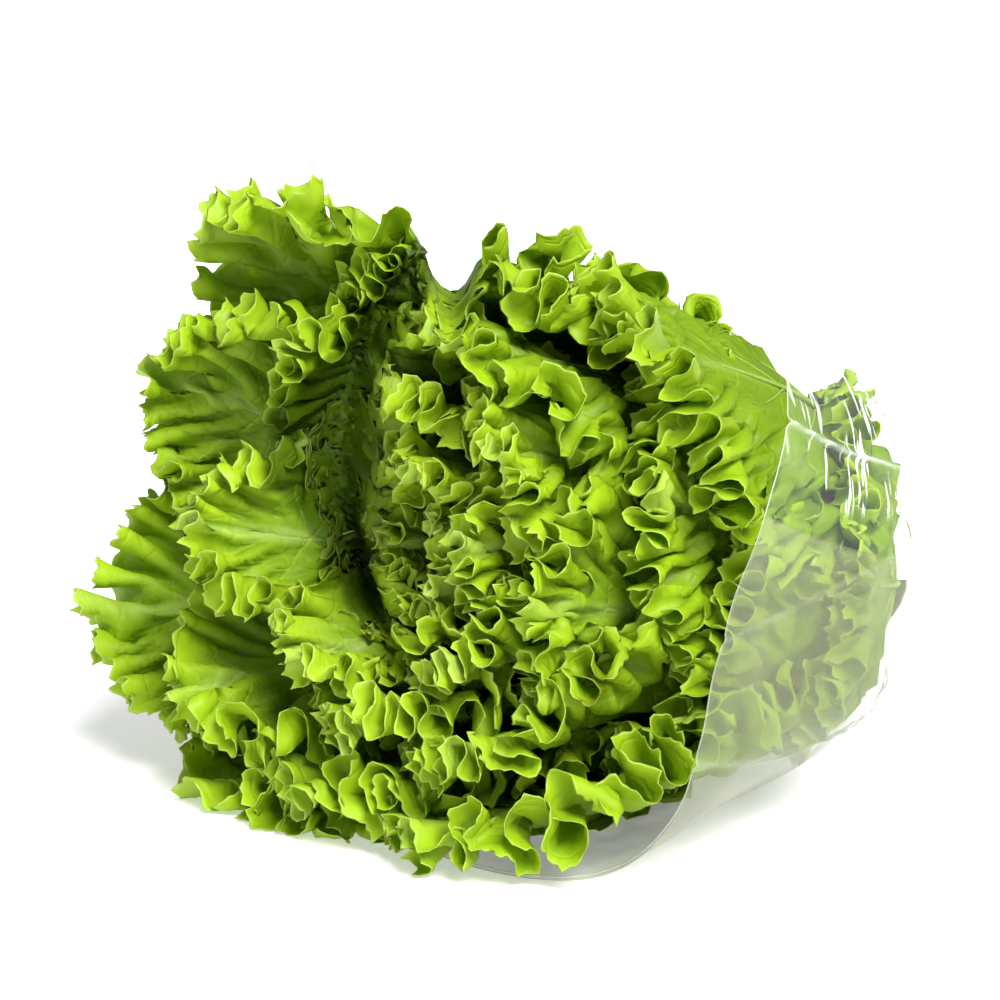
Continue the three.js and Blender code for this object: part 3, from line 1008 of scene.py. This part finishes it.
# --- putting it together
FLOOR = {"half_size": 6.0, "colour": (0.97, 0.97, 0.97, 1), "glow": 0.42}
SKY = {"light": 0.32, "seen": 1.05}
KEY_LIGHT = {"energy": 6.2, "angle": math.radians(34), "from": (0.40, -0.74, 0.98)}
CAMERA = {"distance": 1.1, "rise": math.radians(12), "view_width": 0.306, "aim": (0.0, 0.0, 0.100)}
SENSOR = 36


def place(name, mesh, material):
    piece = bpy.data.objects.new(name, mesh)
    bpy.context.scene.collection.objects.link(piece)
    if material is not None:
        mesh.materials.clear()
        mesh.materials.append(material)
    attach(piece, "root")
    return piece


def build_leaves():
    leaves = Leaves()
    leaves.grow()
    outer = leaf_finish("outer_leaf", blade=(0.200, 0.335, 0.010, 1), frill=(0.370, 0.560, 0.012, 1),
                        rim=(0.62, 0.74, 0.18, 1), rib=(0.42, 0.56, 0.12, 1),
                        through=(0.40, 0.62, 0.015, 1), seed=1.0)
    heart = leaf_finish("heart_leaf", blade=(0.220, 0.370, 0.010, 1), frill=(0.400, 0.580, 0.016, 1),
                        rim=(0.66, 0.77, 0.22, 1), rib=(0.50, 0.63, 0.18, 1),
                        through=(0.46, 0.66, 0.02, 1), seed=9.0)
    ribs = rib_tree(rib_finish())
    for number in range(LEAF_COUNT):
        node = f"leaf_{number + 1:02d}"
        is_heart = number + 1 >= HEART_FROM
        blade = leaf_mesh(leaves, number, node + "_blade")
        piece = place(node + "_blade", blade, heart if is_heart else outer)
        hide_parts(node)
        rib_mesh = grown_ribs(ribs, node + "_ribs", leaf_ribs(leaves, number))
        rib_piece = place(node + "_ribs", rib_mesh, None)


def build_stem():
    piece = place("cut_stem", stem_mesh(), stem_finish())
    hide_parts("stem")


def build_film():
    around = np.linspace(0, 2 * np.pi, FILM_STEPS["around"])
    clear = film_finish("clear_film", 0.022, 0.025, (0.93, 0.95, 0.90, 1))
    double = film_finish("folded_film", 0.19, 0.14, (0.27, 0.31, 0.14, 1))
    mesh = film_mesh("film_sleeve", around, by_side(MOUTH_REACH, around), SLEEVE_HEM, 0.0)
    sleeve = place("film_sleeve", mesh, clear)
    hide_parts("clear_sleeve")
    lap = np.linspace(*np.radians(FILM_LAP["around"]), FILM_STEPS["lap"])
    mouth = by_side(MOUTH_REACH, lap) + FILM_LAP["past_mouth"]
    slant = math.radians(FILM_LAP["slant"])
    mesh = film_mesh("film_lap", lap, mouth, FILM_LAP["hem"], FILM_LAP["lift"], slant)
    overlap = place("film_lap", mesh, double)


def floor_finish():
    made = Finish("pale_floor")
    fleck = made.noise(made.object_place(), 6.0, 2.0)
    darker = (*[channel * 0.97 for channel in FLOOR["colour"][:3]], 1)
    shade = made.blend(fleck * 0.03, FLOOR["colour"], darker)
    return made.surface(made.node("ShaderNodeBsdfPrincipled", {}, Base_Color=shade, Roughness=0.6,
                                  Emission_Color=FLOOR["colour"], Emission_Strength=FLOOR["glow"]))


def build_floor():
    size = FLOOR["half_size"]
    corners = [(-size, -size, 0), (size, -size, 0), (size, size, 0), (-size, size, 0)]
    mesh = bpy.data.meshes.new("floor")
    mesh.from_pydata(corners, [], [(0, 1, 2, 3)])
    mesh.materials.append(floor_finish())
    floor = bpy.data.objects.new("floor", mesh)
    bpy.context.scene.collection.objects.link(floor)


def build_light():
    world = bpy.data.worlds.new("studio")
    bpy.context.scene.world = world
    world.use_nodes = True
    nodes, links = world.node_tree.nodes, world.node_tree.links
    background = nodes["Background"]
    background.inputs["Color"].default_value = (1, 1, 1, 1)
    backdrop = nodes.new("ShaderNodeBackground")
    background.inputs["Strength"].default_value = SKY["light"]
    backdrop.inputs["Strength"].default_value = SKY["seen"]
    ray = nodes.new("ShaderNodeLightPath")
    either = nodes.new("ShaderNodeMixShader")
    links.new(ray.outputs["Is Camera Ray"], either.inputs[0])
    links.new(background.outputs[0], either.inputs[1])
    links.new(backdrop.outputs[0], either.inputs[2])
    links.new(either.outputs[0], nodes["World Output"].inputs["Surface"])
    sun = bpy.data.lights.new("key", "SUN")
    sun.energy = KEY_LIGHT["energy"]
    sun.angle = KEY_LIGHT["angle"]
    lamp = bpy.data.objects.new("key", sun)
    lamp.rotation_euler = Vector(KEY_LIGHT["from"]).to_track_quat("Z", "Y").to_euler()
    bpy.context.scene.collection.objects.link(lamp)


def build_camera():
    camera = bpy.data.cameras.new("camera")
    camera.sensor_width = SENSOR
    camera.lens = SENSOR * CAMERA["distance"] / CAMERA["view_width"]
    camera.clip_start = 0.01
    eye = bpy.data.objects.new("camera", camera)
    aim = Vector(CAMERA["aim"])
    back = Vector((0, -math.cos(CAMERA["rise"]), math.sin(CAMERA["rise"])))
    eye.location = aim + CAMERA["distance"] * back
    eye.rotation_euler = (-back).to_track_quat("-Z", "Y").to_euler()
    bpy.context.scene.collection.objects.link(eye)
    bpy.context.scene.camera = eye
    bpy.context.scene.view_settings.view_transform = "Standard"


build_camera()
build_leaves()
build_stem()
build_film()
build_floor()
build_light()
